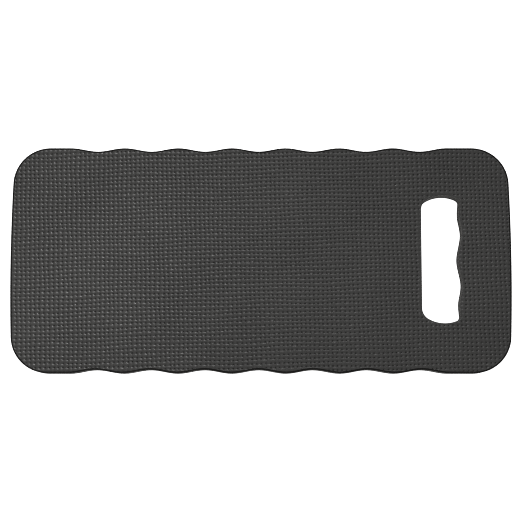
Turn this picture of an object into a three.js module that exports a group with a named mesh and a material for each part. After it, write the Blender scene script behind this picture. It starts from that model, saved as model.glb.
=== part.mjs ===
// Foam kneeling pad with waved long edges and a hand opening near one end.
// Millimetres. +X runs towards the hand opening, +Y across the pad and +Z up, with the
// origin under the middle of the pad, on the surface that it lies on.

import * as THREE from 'three';

// Overall size, with the three layers counted together in THICKNESS.
const LENGTH = 450;
const WIDTH = 203.4;
const THICKNESS = 19;

// Layers: two foam sheets, with a thin film of adhesive between them.
const FILM_THICKNESS = 0.2;
const FILM_CLEARANCE = 0.1; // left open on each side of the film
const FILM_INSET = 0.5; // how far the film's edge stays back from the cut edges

// Outer outline: bowed ends, round corners and a row of shallow hollows along each side.
const END_RADIUS = 1900;
const CORNER_RADIUS = 33.5;
const HOLLOW_COUNT = 7;
const HOLLOW_PITCH = 48.5;
const HOLLOW_DEPTH = 3.1;
const HOLLOW_ROW_X = -2; // middle of the row of hollows
const STEPS_PER_HOLLOW = 14;

// Hand opening: a straight inner wall, an arch at each end and a finger-shaped outer wall.
const OPENING_Y = 0.8; // middle of the opening
const OPENING_HALF_LENGTH = 57.9;
const INNER_WALL_X = 144.3;
const OUTER_WALL_X = 179.2; // the outer wall's two ends
const ARCH_X = 164.5;
const ARCH_RADIUS = 29;
const INNER_CORNER_RADIUS = 11;
const OUTER_CORNER_RADIUS = 4;
// The finger wall from the opening's middle to one end: distance from the middle, and X.
const FINGER_WALL = [[0, 177.5], [22.2, 181], [39.2, 178.6]];

// Curved stretches are cut into this many straight ones.
const CURVE_STEPS = 12;

const FOAM = { color: 0x444443, roughness: 0.8, metalness: 0 };
const ADHESIVE = { color: 0x2c2b28, roughness: 0.5, metalness: 0 };

// Where the centre of a small circle lies, along one axis from a large circle's centre, when
// the small one touches the large one from inside and is `across` away on the other axis.
function insideTangent(largeRadius, smallRadius, across) {
  return Math.sqrt((largeRadius - smallRadius) ** 2 - across ** 2);
}

// Half the pad's width at a place along its length.
function sideY(x) {
  const hollowsAlong = (x - HOLLOW_ROW_X) / HOLLOW_PITCH + HOLLOW_COUNT / 2;
  if (hollowsAlong <= 0 || hollowsAlong >= HOLLOW_COUNT) return WIDTH / 2;
  return WIDTH / 2 - (HOLLOW_DEPTH / 2) * (1 - Math.cos(2 * Math.PI * hollowsAlong));
}

// Adds one long side, at +Y or -Y by `side`, running towards +X or -X by `direction`.
function addSide(shape, side, direction, inset) {
  const steps = HOLLOW_COUNT * STEPS_PER_HOLLOW;
  for (let step = 0; step <= steps; step += 1) {
    const along = direction * (step / steps - 0.5) * HOLLOW_COUNT * HOLLOW_PITCH;
    const x = HOLLOW_ROW_X + along;
    shape.lineTo(x, side * (sideY(x) - inset));
  }
}

// The pad's outline, taken in by `inset` all round, the hand opening's edge included.
function padShape(inset) {
  const endCentreX = LENGTH / 2 - END_RADIUS;
  const cornerY = WIDTH / 2 - CORNER_RADIUS;
  const cornerX = endCentreX + insideTangent(END_RADIUS, CORNER_RADIUS, cornerY);
  const endAngle = Math.atan2(cornerY, cornerX - endCentreX);
  const endRadius = END_RADIUS - inset;
  const cornerRadius = CORNER_RADIUS - inset;
  const { PI } = Math;

  const shape = new THREE.Shape();
  shape.absarc(endCentreX, 0, endRadius, -endAngle, endAngle, false);
  shape.absarc(cornerX, cornerY, cornerRadius, endAngle, PI / 2, false);
  addSide(shape, 1, -1, inset);
  shape.absarc(-cornerX, cornerY, cornerRadius, PI / 2, PI - endAngle, false);
  shape.absarc(-endCentreX, 0, endRadius, PI - endAngle, PI + endAngle, false);
  shape.absarc(-cornerX, -cornerY, cornerRadius, PI + endAngle, 1.5 * PI, false);
  addSide(shape, -1, 1, inset);
  shape.absarc(cornerX, -cornerY, cornerRadius, 1.5 * PI, 2 * PI - endAngle, false);
  shape.holes.push(openingPath(inset));
  return shape;
}

// The arcs round one end of the opening, from the outer wall to the inner one: X, distance
// from the opening's middle, radius, first angle and last angle.
function endArcs() {
  const archY = OPENING_HALF_LENGTH - ARCH_RADIUS;
  const innerX = INNER_WALL_X + INNER_CORNER_RADIUS;
  const outerX = OUTER_WALL_X - OUTER_CORNER_RADIUS;
  const innerY = archY + insideTangent(ARCH_RADIUS, INNER_CORNER_RADIUS, ARCH_X - innerX);
  const outerY = archY + insideTangent(ARCH_RADIUS, OUTER_CORNER_RADIUS, outerX - ARCH_X);
  const innerAngle = Math.atan2(innerY - archY, innerX - ARCH_X);
  const outerAngle = Math.atan2(outerY - archY, outerX - ARCH_X);
  return [
    [outerX, outerY, OUTER_CORNER_RADIUS, 0, outerAngle],
    [ARCH_X, archY, ARCH_RADIUS, outerAngle, innerAngle],
    [innerX, innerY, INNER_CORNER_RADIUS, innerAngle, Math.PI],
  ];
}

// The hand opening's outline, opened out by `inset` all round.
function openingPath(inset) {
  const arcs = endArcs();
  const path = new THREE.Path();
  for (const [x, y, radius, start, end] of arcs) {
    path.absarc(x, OPENING_Y + y, radius + inset, start, end, false);
  }
  for (const [x, y, radius, start, end] of arcs.toReversed()) {
    path.absarc(x, OPENING_Y - y, radius + inset, -end, -start, false);
  }
  const mirrored = FINGER_WALL.slice(1).map(([y, x]) => [-y, x]);
  const firstPoint = [arcs[0][1], OUTER_WALL_X];
  const wall = [...mirrored.reverse(), ...FINGER_WALL, firstPoint];
  path.splineThru(wall.map(([y, x]) => new THREE.Vector2(x + inset, OPENING_Y + y)));
  return path;
}

function layer(name, finish, bottom, thickness, inset) {
  const geometry = new THREE.ExtrudeGeometry(padShape(inset), {
    depth: thickness,
    bevelEnabled: false,
    curveSegments: CURVE_STEPS,
  });
  const mesh = new THREE.Mesh(geometry, new THREE.MeshStandardMaterial(finish));
  mesh.name = name;
  mesh.position.z = bottom;
  return mesh;
}

const sheetThickness = (THICKNESS - FILM_THICKNESS) / 2 - FILM_CLEARANCE;
const filmBottom = sheetThickness + FILM_CLEARANCE;
const topSheetBottom = filmBottom + FILM_THICKNESS + FILM_CLEARANCE;

const pad = new THREE.Group();
pad.add(layer('bottom_ply', FOAM, 0, sheetThickness, 0));
pad.add(layer('glue_film', ADHESIVE, filmBottom, FILM_THICKNESS, FILM_INSET));
pad.add(layer('top_ply', FOAM, topSheetBottom, sheetThickness, 0));

export default pad;
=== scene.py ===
"""A foam kneeling pad: two embossed foam sheets, bonded back to back and cut to outline in one stroke.

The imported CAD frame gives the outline, the heights and the film between the sheets. This script
builds each sheet's woven emboss and cut edge as real geometry, and gives every piece its material.
Lengths are in metres.
"""

import math

import bmesh
import bpy
import numpy as np
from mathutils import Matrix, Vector
from mathutils.geometry import delaunay_2d_cdt
from mathutils.kdtree import KDTree


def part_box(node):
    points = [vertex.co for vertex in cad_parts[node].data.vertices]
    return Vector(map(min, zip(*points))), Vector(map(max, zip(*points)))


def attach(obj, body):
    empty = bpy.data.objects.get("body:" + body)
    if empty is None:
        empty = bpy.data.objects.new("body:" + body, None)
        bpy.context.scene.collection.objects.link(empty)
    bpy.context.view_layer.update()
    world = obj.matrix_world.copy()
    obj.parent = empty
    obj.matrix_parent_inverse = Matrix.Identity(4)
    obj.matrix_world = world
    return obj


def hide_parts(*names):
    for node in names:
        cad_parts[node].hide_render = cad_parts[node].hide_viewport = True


MM = 0.001

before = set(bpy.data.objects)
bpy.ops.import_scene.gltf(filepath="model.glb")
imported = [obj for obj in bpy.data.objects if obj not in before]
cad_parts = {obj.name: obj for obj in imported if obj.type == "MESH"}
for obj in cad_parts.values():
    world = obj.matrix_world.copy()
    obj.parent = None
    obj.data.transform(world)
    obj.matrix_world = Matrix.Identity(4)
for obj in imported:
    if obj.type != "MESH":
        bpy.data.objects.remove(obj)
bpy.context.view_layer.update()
BODY = "root"
LENGTH = (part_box("top_ply")[1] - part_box("top_ply")[0]).x
PAD_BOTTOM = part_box("bottom_ply")[0].z
PAD_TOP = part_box("top_ply")[1].z

# Woven emboss: strands run along the pad and across it, over and under each other in turn.
CELL_X = 4.06 * MM  # between the strands that run across the pad, at its middle
CELL_Y = 3.80 * MM  # between the strands that run along it
CELL_STRETCH = 0.05  # share of CELL_X that the cells lose from the -X end to the +X end
RELIEF = 1.60 * MM  # from the bottom of a pit to the top of a raised strand
SWING = 0.30  # share of the relief that a strand gains where it is over, and loses where under
HALF_WIDTH = 0.43  # of a strand, in cells
ROUNDNESS = 2.2  # 2 for strands of oval section, more for flatter ones
BLEND = 14  # how sharply crossing strands meet
FINE = (0.45, 0.80, 1.0)  # where the mesh has lines between a strand's middle and its side
COARSE = (0.65, 1.0)

# Cut edge
RIM_STEP = 0.9 * MM  # between the points along an outline
ROLL = 1.5 * MM  # how far in from the cut the skin starts to turn down
ROLL_DROP = 0.8 * MM  # how far down it has turned at the cut
DISH = 0.25 * MM  # how hollow the cut wall is at mid-height
SEAM_CHAMFER = 0.4 * MM
ROLL_STEPS = 3
ROLL_RELIEF_LOSS = 0.6  # share of the emboss that the skin has lost where it reaches the cut
WALL_STEPS = 4
GRID_CLEARANCE = 0.45 * RIM_STEP  # the weave's own mesh stays this far inside the rims
GRID_REACH = (1.15, 0.6)  # how far that mesh is laid out along and across, in half pad lengths
SHARP_ANGLE = math.radians(55)

# Material slots of a foam sheet
SKIN, RIM, CUT = range(3)

# Camera, fitted to the photo with its distance held fixed
CAMERA_DISTANCE = 1.35
CAMERA_TILT = math.radians(6.5)  # from straight down, towards -Y
CAMERA_ANGLE = math.radians(19.69)
CAMERA_AIM_Y = -1.25 * MM

# Light
WORLD_STRENGTH = 0.83
FLOOR_GLOW = 1.0
FLOOR_REACH = 4.0

WELD = 0.001 * MM


# ---------------------------------------------------------------- weave

class Weave:
    """One sheet's emboss: where its strands lie, and how high they stand."""

    def __init__(self, turn, seed):
        self.turn = turn
        rng = np.random.default_rng(seed)
        count = 400  # more strands than a pad has in either direction
        self.half = count // 2
        self.strand_x = 1 - 0.08 * rng.random(count)
        self.strand_y = 1 - 0.08 * rng.random(count)
        self.lift = 1 - 0.60 * rng.random((count, count))
        self.waves = [
            (rng.uniform(0, math.tau), rng.uniform(0, math.tau), 2 * math.pi / length, size)
            for length, size in ((95 * MM, 0.10), (41 * MM, 0.06), (17 * MM, 0.05), (9 * MM, 0.035))
        ]

    def wander(self, x, y, offset):
        """How far the strands stray sideways, in cells."""
        total = 0
        for heading, phase, wave_number, size in self.waves:
            along = x * math.cos(heading + offset) + y * math.sin(heading + offset)
            total = total + size * np.sin(wave_number * along + phase + 2 * offset)
        return total

    def cells(self, x, y):
        """Weave coordinates: each one is a whole number along the middle of a strand."""
        along = x * math.cos(self.turn) + y * math.sin(self.turn)
        across = y * math.cos(self.turn) - x * math.sin(self.turn)
        u = along / CELL_X * (1 + 0.5 * CELL_STRETCH * along / LENGTH) + self.wander(x, y, 0)
        v = across / CELL_Y + self.wander(x, y, 1)
        return u, v

    def place(self, u, v):
        """Where on the pad a pair of weave coordinates lies."""
        x, y = u * CELL_X, v * CELL_Y
        for _ in range(12):
            got_u, got_v = self.cells(x, y)
            along = (u - got_u) * CELL_X
            across = (v - got_v) * CELL_Y
            x = x + along * math.cos(self.turn) - across * math.sin(self.turn)
            y = y + along * math.sin(self.turn) + across * math.cos(self.turn)
        return x, y

    def height(self, x, y):
        """How high the surface stands, from near 0 in a pit to 1 on a raised strand."""
        u, v = self.cells(x, y)
        i = np.round(u).astype(int)
        j = np.round(v).astype(int)
        swing = SWING * self.lift[i + self.half, j + self.half]
        across = 1 - SWING - swing * np.cos(np.pi * (v + i))
        across = across * self.strand_x[i + self.half] * profile(u - i)
        along = 1 - SWING + swing * np.cos(np.pi * (u + j))
        along = along * self.strand_y[j + self.half] * profile(v - j)
        blended = np.logaddexp(BLEND * across, BLEND * along) / BLEND
        return np.minimum(blended, 1)


def profile(offset):
    """A strand's round back, 1 along its middle, at an offset from it in cells."""
    share = np.abs(offset / HALF_WIDTH) ** ROUNDNESS
    return np.clip(1 - share, 0, 1) ** (1 / ROUNDNESS)


# ---------------------------------------------------------------- outlines

def cad_outlines(node):
    """The outlines of a CAD sheet's upper face, the outer one first, with the foam on their left."""
    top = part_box(node)[1].z
    bm = bmesh.new()
    bm.from_mesh(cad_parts[node].data)
    bmesh.ops.remove_doubles(bm, verts=bm.verts, dist=WELD)
    flat = {f for f in bm.faces if min(v.co.z for v in f.verts) > top - WELD}
    following = {}
    for face in flat:
        for loop in face.loops:
            if all(other in flat for other in loop.edge.link_faces):
                continue
            following[loop.vert] = loop.link_loop_next.vert
    outlines = []
    while following:
        vert = next(iter(following))
        points = []
        while vert in following:
            points.append(vert.co.to_2d())
            vert = following.pop(vert)
        outlines.append(np.array(points))
    bm.free()
    return sorted(outlines, key=len, reverse=True)


def even(points, step):
    """A closed outline's points, spread evenly about one step apart and eased at its corners."""
    fine = 4
    start = int(np.argmax(points @ (1, 0.01)))
    points = np.roll(points, -start, axis=0)
    closed = np.vstack([points, points[:1]])
    gaps = np.linalg.norm(np.diff(closed, axis=0), axis=1)
    travelled = np.concatenate([[0], np.cumsum(gaps)])
    count = fine * round(travelled[-1] / step)
    at = np.arange(count) * travelled[-1] / count
    evened = np.stack([np.interp(at, travelled, closed[:, axis]) for axis in (0, 1)], axis=1)
    for _ in range(10):
        evened = (np.roll(evened, 1, axis=0) + 2 * evened + np.roll(evened, -1, axis=0)) / 4
    return evened[::fine]


def inward(points):
    """The unit direction into the foam at each point of an outline."""
    ahead = np.roll(points, -1, axis=0) - np.roll(points, 1, axis=0)
    ahead = ahead / np.linalg.norm(ahead, axis=1)[:, None]
    return np.stack([-ahead[:, 1], ahead[:, 0]], axis=1)


# ---------------------------------------------------------------- sheets

def dish(z):
    """How far inside its outline the cut wall lies at a height: furthest half way up the pad."""
    mid_height = (PAD_TOP + PAD_BOTTOM) / 2
    return DISH * (1 - ((z - mid_height) / (PAD_TOP - mid_height)) ** 2)


class SheetMesh:
    """Vertices and faces of one foam sheet, whose skin faces up if sense is 1 and down if -1."""

    def __init__(self, weave, skin_z, seam_z, sense):
        self.weave = weave
        self.skin_z = skin_z
        self.seam_z = seam_z
        self.sense = sense
        self.verts = []
        self.count = 0
        self.faces = []
        self.slots = []

    def add_verts(self, x, y, z, relief):
        """Vertices that a share of the emboss sinks into the sheet from a height."""
        pitted = relief * RELIEF * (1 - self.weave.height(x, y))
        first = self.count
        self.verts.append(np.stack([x, y, z - self.sense * pitted], axis=1))
        self.count += len(x)
        return np.arange(first, self.count)

    def add_faces(self, faces, slot):
        self.faces.extend(faces)
        self.slots.extend([slot] * len(faces))

    def add_skin(self, rims, shares):
        """The embossed face inside the rims. Returns the edges round it."""
        x, y, whole = emboss_grid(self.weave, rims, shares)
        used = np.zeros(x.shape, bool)
        for di, dj in ((0, 0), (1, 0), (1, 1), (0, 1)):
            used[di:di + whole.shape[0], dj:dj + whole.shape[1]] |= whole
        numbers = np.full(x.shape, -1)
        numbers[used] = self.add_verts(x[used], y[used], self.skin_z, 1)
        quads, edges = grid_faces(whole, numbers)
        self.add_faces(quads.tolist(), SKIN)
        return edges

    def add_ring(self, outline, inset, z, relief):
        x, y = (outline + inward(outline) * inset).T
        return self.add_verts(x, y, z, relief)

    def add_edge(self, outline, rim_slot):
        """The rolled rim and the cut wall along one outline. Returns their first and last rings."""
        rings = []
        for step in range(ROLL_STEPS + 1):
            turn = 0.5 * math.pi * step / ROLL_STEPS
            z = self.skin_z - self.sense * ROLL_DROP * (1 - math.cos(turn))
            inset = ROLL * (1 - math.sin(turn)) + dish(z) * math.sin(turn)
            relief = 1 - ROLL_RELIEF_LOSS * step / ROLL_STEPS
            rings.append(self.add_ring(outline, inset, z, relief))
        wall_start = self.skin_z - self.sense * ROLL_DROP
        wall_end = self.seam_z + self.sense * SEAM_CHAMFER
        for step in range(1, WALL_STEPS + 1):
            z = wall_start + (wall_end - wall_start) * step / WALL_STEPS
            rings.append(self.add_ring(outline, dish(z), z, 0))
        rings.append(self.add_ring(outline, dish(self.seam_z) + SEAM_CHAMFER, self.seam_z, 0))
        for step, (upper, lower) in enumerate(zip(rings[:-1], rings[1:], strict=True)):
            self.bridge(upper, lower, rim_slot if step < ROLL_STEPS else CUT)
        return rings[0], rings[-1]

    def bridge(self, upper, lower, slot):
        """Quads between two rings that run the same way, the foam on their left."""
        after_upper = np.roll(upper, -1)
        after_lower = np.roll(lower, -1)
        self.add_faces(np.stack([upper, lower, after_lower, after_upper], axis=1).tolist(), slot)

    def triangles(self, edges):
        """Triangles between closed runs of edges, as numbers of the mesh's own vertices."""
        verts = np.vstack(self.verts)
        used, compact = np.unique(edges, return_inverse=True)
        found = fill(verts[used, :2], compact.reshape(-1, 2).tolist())
        return [[int(used[k]) for k in face] for face in found]


def ring_edges(rings):
    """The edges of several closed rings."""
    return np.vstack([np.stack([ring, np.roll(ring, -1)], axis=1) for ring in rings])


def fill(points, edges):
    """Triangles over the stretches that closed edges bound, every second one from outside in."""
    flat = [Vector(p) for p in points.tolist()]
    verts, out_edges, faces, from_verts, from_edges, _ = delaunay_2d_cdt(
        flat, edges, [], 0, WELD * MM, True
    )
    origin = [ids[0] for ids in from_verts]
    bounds = {frozenset(e) for e, ids in zip(out_edges, from_edges, strict=True) if ids}
    beside = {}
    for number, face in enumerate(faces):
        for a, b in zip(face, face[1:] + face[:1], strict=True):
            beside.setdefault(frozenset((a, b)), []).append(number)
    depth = {}
    queue = []
    for edge, sides in beside.items():
        if len(sides) == 1 and sides[0] not in depth:
            depth[sides[0]] = int(edge in bounds)
            queue.append(sides[0])
    while queue:
        number = queue.pop()
        face = faces[number]
        for a, b in zip(face, face[1:] + face[:1], strict=True):
            edge = frozenset((a, b))
            for other in beside[edge]:
                if other not in depth:
                    depth[other] = depth[number] + int(edge in bounds)
                    queue.append(other)
    return [[origin[k] for k in face] for n, face in enumerate(faces) if depth[n] % 2]


def mesh_lines(cells, shares):
    """Weave coordinates of the mesh's lines, from minus to plus so many cells."""
    side = [HALF_WIDTH * share for share in shares]
    within = np.array([0, *side, *(1 - offset for offset in reversed(side))])
    return (np.arange(-cells, cells)[:, None] + within).ravel()


def emboss_grid(weave, rims, shares):
    """Where the weave's own grid points lie, and which of its quads lie well inside the rims."""
    reach_x, reach_y = (share * 0.5 * LENGTH for share in GRID_REACH)
    lines_u = mesh_lines(math.ceil(reach_x / CELL_X), shares)
    lines_v = mesh_lines(math.ceil(reach_y / CELL_Y), shares)
    u, v = np.meshgrid(lines_u, lines_v, indexing="ij")
    x, y = weave.place(u, v)
    points = np.vstack(rims)
    normals = np.vstack([inward(rim) for rim in rims])
    tree = KDTree(len(points))
    for number, (px, py) in enumerate(points.tolist()):
        tree.insert((px, py, 0), number)
    tree.balance()
    flat = np.stack([x.ravel(), y.ravel()], axis=1)
    nearest = np.array([tree.find((px, py, 0))[1] for px, py in flat.tolist()])
    clear = ((flat - points[nearest]) * normals[nearest]).sum(axis=1)
    inside = (clear > GRID_CLEARANCE).reshape(x.shape)
    whole = inside[:-1, :-1] & inside[1:, :-1] & inside[1:, 1:] & inside[:-1, 1:]
    return x, y, whole


def grid_faces(whole, numbers):
    """Quads of the kept grid cells, and the edges that only one of them has."""
    i, j = np.nonzero(whole)
    quads = np.stack(
        [numbers[i, j], numbers[i + 1, j], numbers[i + 1, j + 1], numbers[i, j + 1]], axis=1
    )
    sides = np.vstack([quads[:, [k, (k + 1) % 4]] for k in range(4)])
    keys = np.sort(sides, axis=1)
    _, first, times = np.unique(keys, axis=0, return_index=True, return_counts=True)
    return quads, sides[first[times == 1]]


def sheet_mesh(node, weave, shares, up):
    """The mesh of a foam sheet in the space of its CAD node, with its embossed face up or down."""
    low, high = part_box(node)
    outlines = [even(points, RIM_STEP) for points in cad_outlines(node)]
    skin_z, seam_z = (high.z, low.z) if up else (low.z, high.z)
    mesh = SheetMesh(weave, skin_z, seam_z, 1 if up else -1)
    skin_edges = mesh.add_skin([points + inward(points) * ROLL for points in outlines], shares)
    first_rings = []
    last_rings = []
    for number, outline in enumerate(outlines):
        # painted shade: these rims take the near-black rim colour, standing in for shade along the
        # edges and at the foot
        painted_dark_rim = number == 0 or not up  # all rims but the hand opening's upper one
        first, last = mesh.add_edge(outline, RIM if painted_dark_rim else SKIN)
        first_rings.append(first)
        last_rings.append(last)
    band = mesh.triangles(np.vstack([skin_edges, ring_edges(first_rings)]))
    mesh.add_faces(band, SKIN)
    seam = mesh.triangles(ring_edges(last_rings))
    mesh.add_faces([face[::-1] for face in seam], CUT)
    return mesh


def sheet_piece(name, node, weave, shares, up):
    """A foam sheet that takes the place of its CAD node."""
    mesh = sheet_mesh(node, weave, shares, up)
    faces = mesh.faces if up else [face[::-1] for face in mesh.faces]
    data = bpy.data.meshes.new(name)
    data.from_pydata(np.vstack(mesh.verts).tolist(), [], faces)
    data.polygons.foreach_set("material_index", np.array(mesh.slots, np.int32))
    data.shade_smooth()
    data.set_sharp_from_angle(angle=SHARP_ANGLE)
    data.validate()
    piece = bpy.data.objects.new(name, data)
    bpy.context.scene.collection.objects.link(piece)
    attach(piece, BODY)
    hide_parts(node)
    return piece


# ---------------------------------------------------------------- materials

def principled(name):
    """A new material with its node tree and its shader."""
    material = bpy.data.materials.new(name)
    material.use_nodes = True
    tree = material.node_tree
    return material, tree, tree.nodes["Principled BSDF"]


def place_on_object(tree, stretch=(1, 1, 1)):
    """Object coordinates in metres, scaled by stretch."""
    place = tree.nodes.new("ShaderNodeTexCoord").outputs["Object"]
    mapping = tree.nodes.new("ShaderNodeMapping")
    mapping.inputs["Scale"].default_value = stretch
    tree.links.new(place, mapping.inputs["Vector"])
    return mapping.outputs["Vector"]


def noise(tree, place, size):
    """Smooth noise from 0 to 1, with blotches of about the given size in metres."""
    texture = tree.nodes.new("ShaderNodeTexNoise")
    texture.inputs["Scale"].default_value = 1 / size
    texture.inputs["Detail"].default_value = 3.0
    tree.links.new(place, texture.inputs["Vector"])
    return texture.outputs["Fac"]


def pebbles(tree, place, size):
    """Distance to the nearest of many points about one size apart, in sizes."""
    texture = tree.nodes.new("ShaderNodeTexVoronoi")
    texture.feature = "SMOOTH_F1"
    texture.inputs["Scale"].default_value = 1 / size
    tree.links.new(place, texture.inputs["Vector"])
    return texture.outputs["Distance"]


def remap(tree, value, old, new):
    """A value that goes from new[0] to new[1] as the given one goes from old[0] to old[1]."""
    ranged = tree.nodes.new("ShaderNodeMapRange")
    for socket, number in zip(("From Min", "From Max", "To Min", "To Max"), (*old, *new), strict=True):
        ranged.inputs[socket].default_value = number
    tree.links.new(value, ranged.inputs["Value"])
    return ranged.outputs["Result"]


def combine(tree, operation, first, second):
    """Two values put together by a Math node."""
    math_node = tree.nodes.new("ShaderNodeMath")
    math_node.operation = operation
    tree.links.new(first, math_node.inputs[0])
    tree.links.new(second, math_node.inputs[1])
    return math_node.outputs["Value"]


def total(tree, *values):
    """The sum of several values."""
    result = values[0]
    for value in values[1:]:
        result = combine(tree, "ADD", result, value)
    return result


def tint(tree, factor, dark, light):
    """A colour between two others."""
    ramp = tree.nodes.new("ShaderNodeValToRGB")
    ramp.color_ramp.elements[0].color = (*dark, 1)
    ramp.color_ramp.elements[1].color = (*light, 1)
    tree.links.new(factor, ramp.inputs["Fac"])
    return ramp.outputs["Color"]


def raised(tree, shader, height, depth):
    """Bumps on a shader's surface, as deep as given where the height goes from 0 to 1."""
    bump = tree.nodes.new("ShaderNodeBump")
    bump.inputs["Distance"].default_value = depth
    tree.links.new(height, bump.inputs["Height"])
    tree.links.new(bump.outputs["Normal"], shader.inputs["Normal"])


def grey(level):
    """The foam's slightly warm grey."""
    return level, 0.98 * level, 0.93 * level


def rise(tree, low, high):
    """0 at one height on the pad and 1 at the other."""
    place = tree.nodes.new("ShaderNodeTexCoord").outputs["Object"]
    split = tree.nodes.new("ShaderNodeSeparateXYZ")
    tree.links.new(place, split.inputs[0])
    return remap(tree, split.outputs["Z"], (low, high), (0, 1))


def foam_skin(name, skin_z, sense):
    """Moulded foam skin: fine pebbles, rubbed crests, duller pits, faint blotches, and painted shade
    that darkens its colour in the pits.
    """
    material, tree, shader = principled(name)
    place = place_on_object(tree)
    crest = rise(tree, skin_z - sense * RELIEF, skin_z)
    rubbed = combine(tree, "MULTIPLY", crest, noise(tree, place, 14 * MM))
    blotches = noise(tree, place, 60 * MM)
    specks = noise(tree, place, 1.1 * MM)
    shade = total(
        tree,
        # painted shade: the colour darkens from the crests down into the pits
        remap(tree, crest, (0, 1), (0, 0.30)),
        remap(tree, rubbed, (0, 1), (0, 0.25)),
        remap(tree, blotches, (0.3, 0.7), (0, 0.25)),
        remap(tree, specks, (0.25, 0.75), (0, 0.30)),
    )
    tree.links.new(tint(tree, shade, grey(0.010), grey(0.032)), shader.inputs["Base Color"])
    roughness = total(
        tree,
        remap(tree, crest, (0, 1), (0.50, 0.41)),
        remap(tree, noise(tree, place, 3 * MM), (0.3, 0.7), (-0.05, 0.05)),
    )
    tree.links.new(roughness, shader.inputs["Roughness"])
    shader.inputs["Specular IOR Level"].default_value = 0.33
    grain = total(
        tree,
        remap(tree, pebbles(tree, place, 0.55 * MM), (0, 0.8), (0.6, 0)),
        remap(tree, noise(tree, place, 0.2 * MM), (0.3, 0.7), (0, 0.4)),
    )
    raised(tree, shader, grain, 0.012 * MM)
    return material


def foam_rim_painted_shade(name):
    """The rounded rim, dark and matt: its near-black colour is painted shade along the rolled edge and
    at the foot.
    """
    material, tree, shader = principled(name)
    place = place_on_object(tree)
    creases = noise(tree, place, 0.8 * MM)
    shade = total(
        tree,
        remap(tree, creases, (0.3, 0.7), (0, 0.6)),
        remap(tree, noise(tree, place, 12 * MM), (0.3, 0.7), (0, 0.4)),
    )
    # painted shade: the rim's colour is kept near-black
    tree.links.new(tint(tree, shade, grey(0.005), grey(0.014)), shader.inputs["Base Color"])
    tree.links.new(remap(tree, creases, (0.3, 0.7), (0.85, 0.7)), shader.inputs["Roughness"])
    shader.inputs["Specular IOR Level"].default_value = 0.03
    raised(tree, shader, creases, 0.05 * MM)
    return material


def foam_cut(name):
    """Knife-cut foam: open pores, faint lines where the blade dragged, and a painted contact shadow
    that darkens it towards the foot.
    """
    material, tree, shader = principled(name)
    place = place_on_object(tree)
    pores = remap(tree, pebbles(tree, place, 0.45 * MM), (0.1, 0.75), (0, 1))
    drag = noise(tree, place_on_object(tree, (1, 1, 0.08)), 0.6 * MM)
    shade = total(
        tree,
        remap(tree, pores, (0, 1), (0.45, 0)),
        remap(tree, drag, (0.3, 0.7), (0, 0.30)),
        remap(tree, noise(tree, place, 25 * MM), (0.3, 0.7), (0, 0.25)),
    )
    # painted contact shadow: the cut wall's colour darkens towards the foot of the pad
    painted_foot_shadow_fade = rise(tree, PAD_BOTTOM + 1 * MM, PAD_BOTTOM + 7 * MM)
    shade = combine(tree, "MULTIPLY", shade, painted_foot_shadow_fade)
    tree.links.new(tint(tree, shade, grey(0.006), grey(0.125)), shader.inputs["Base Color"])
    tree.links.new(remap(tree, pores, (0, 1), (0.72, 0.95)), shader.inputs["Roughness"])
    shader.inputs["Specular IOR Level"].default_value = 0.02
    depth = total(tree, remap(tree, pores, (0, 1), (0.7, 0)), remap(tree, drag, (0.3, 0.7), (0, 0.3)))
    raised(tree, shader, depth, 0.08 * MM)
    return material


def adhesive():
    """The contact adhesive's edge: dark, uneven, and shinier where it has squeezed out thick."""
    material, tree, shader = principled("adhesive_film")
    place = place_on_object(tree)
    thick = noise(tree, place, 4 * MM)
    strings = noise(tree, place, 0.5 * MM)
    shade = total(
        tree,
        remap(tree, thick, (0.3, 0.7), (0, 0.6)),
        remap(tree, strings, (0.3, 0.7), (0, 0.4)),
    )
    colour = tint(tree, shade, (0.016, 0.014, 0.012), (0.046, 0.040, 0.032))
    tree.links.new(colour, shader.inputs["Base Color"])
    tree.links.new(remap(tree, thick, (0.3, 0.7), (0.55, 0.28)), shader.inputs["Roughness"])
    raised(tree, shader, strings, 0.03 * MM)
    return material


def floor_paint():
    """A plain pale floor, softly lit from below, as a photographer's light table is."""
    material, tree, shader = principled("floor_paint")
    place = place_on_object(tree)
    shade = noise(tree, place, 0.3)
    colour = tint(tree, shade, (0.44, 0.44, 0.44), (0.46, 0.46, 0.46))
    tree.links.new(colour, shader.inputs["Base Color"])
    shader.inputs["Roughness"].default_value = 0.9
    shader.inputs["Emission Color"].default_value = (1, 1, 1, 1)
    shader.inputs["Emission Strength"].default_value = FLOOR_GLOW
    return material


# ---------------------------------------------------------------- studio

def floor():
    """A plain square floor under the pad."""
    reach = FLOOR_REACH
    corners = [(-reach, -reach, 0), (reach, -reach, 0), (reach, reach, 0), (-reach, reach, 0)]
    data = bpy.data.meshes.new("floor")
    data.from_pydata(corners, [], [(0, 1, 2, 3)])
    data.materials.append(floor_paint())
    piece = bpy.data.objects.new("floor", data)
    bpy.context.scene.collection.objects.link(piece)


def softbox(name, place, size, power, aim=(0, 0, 0), spread=180):
    """A square area light, out of the camera's sight, with its spread in degrees."""
    light = bpy.data.lights.new(name, "AREA")
    light.shape = "SQUARE"
    light.size = size
    light.energy = power
    light.spread = math.radians(spread)
    lamp = bpy.data.objects.new(name, light)
    lamp.location = place
    lamp.rotation_euler = (Vector(aim) - Vector(place)).to_track_quat("-Z", "Y").to_euler()
    lamp.visible_camera = False
    bpy.context.scene.collection.objects.link(lamp)


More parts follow.
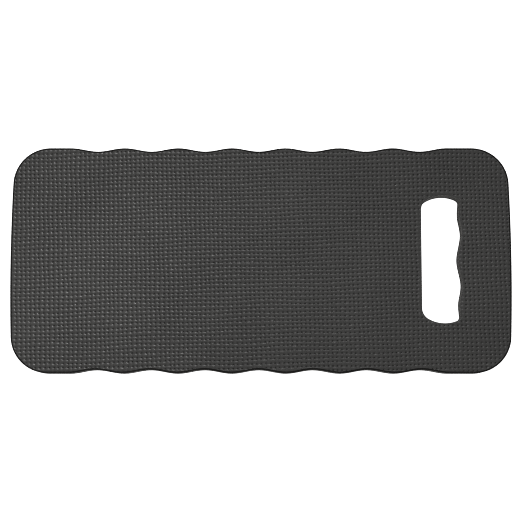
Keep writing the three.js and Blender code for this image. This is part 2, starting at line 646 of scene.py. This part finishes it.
def backdrop():
    """Even, pale surroundings."""
    world = bpy.data.worlds.new("studio")
    world.use_nodes = True
    world.node_tree.nodes["Background"].inputs["Color"].default_value = (1, 1, 1, 1)
    world.node_tree.nodes["Background"].inputs["Strength"].default_value = WORLD_STRENGTH
    bpy.context.scene.world = world


def studio():
    """Softboxes behind, a strong one that rakes the -X half and a weak one that rakes the +X end."""
    softbox("key", (0.2, 0.7, 0.9), 0.3, 0.41, aim=(-0.23, -0.10, 0), spread=23)
    softbox("weak", (-0.15, 0.6, 0.9), 0.3, 0.10, aim=(0.19, -0.05, 0), spread=24)
    backdrop()


def camera():
    """The photo's view: almost straight down, from a little to the -Y side."""
    rise_to_eye = PAD_TOP + CAMERA_DISTANCE * math.cos(CAMERA_TILT)
    view = bpy.data.cameras.new("camera")
    view.angle = CAMERA_ANGLE
    view.clip_start = 0.01
    eye = bpy.data.objects.new("camera", view)
    eye.location = (0, -CAMERA_DISTANCE * math.sin(CAMERA_TILT), rise_to_eye)
    aim = Vector((0, CAMERA_AIM_Y, PAD_TOP))
    eye.rotation_euler = (aim - eye.location).to_track_quat("-Z", "Y").to_euler()
    bpy.context.scene.collection.objects.link(eye)
    bpy.context.scene.camera = eye


# ---------------------------------------------------------------- the pad

camera()
studio()
floor()

top = sheet_piece("top_sheet", "top_ply", Weave(math.radians(1.2), 11), FINE, True)
bottom = sheet_piece("bottom_sheet", "bottom_ply", Weave(math.radians(-0.7), 23), COARSE, False)
for piece, skin_z, sense in ((top, PAD_TOP, 1), (bottom, PAD_BOTTOM, -1)):
    piece.data.materials.append(foam_skin(piece.name + "_skin", skin_z, sense))
    piece.data.materials.append(foam_rim_painted_shade(piece.name + "_rim"))
    piece.data.materials.append(foam_cut(piece.name + "_cut"))
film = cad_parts["glue_film"]
film.data.materials.clear()
film.data.materials.append(adhesive())

bpy.context.scene.view_settings.view_transform = "Standard"
bpy.context.scene.cycles.filter_width = 1.0
bpy.context.scene.cycles.use_denoising = False  # it would soften the emboss
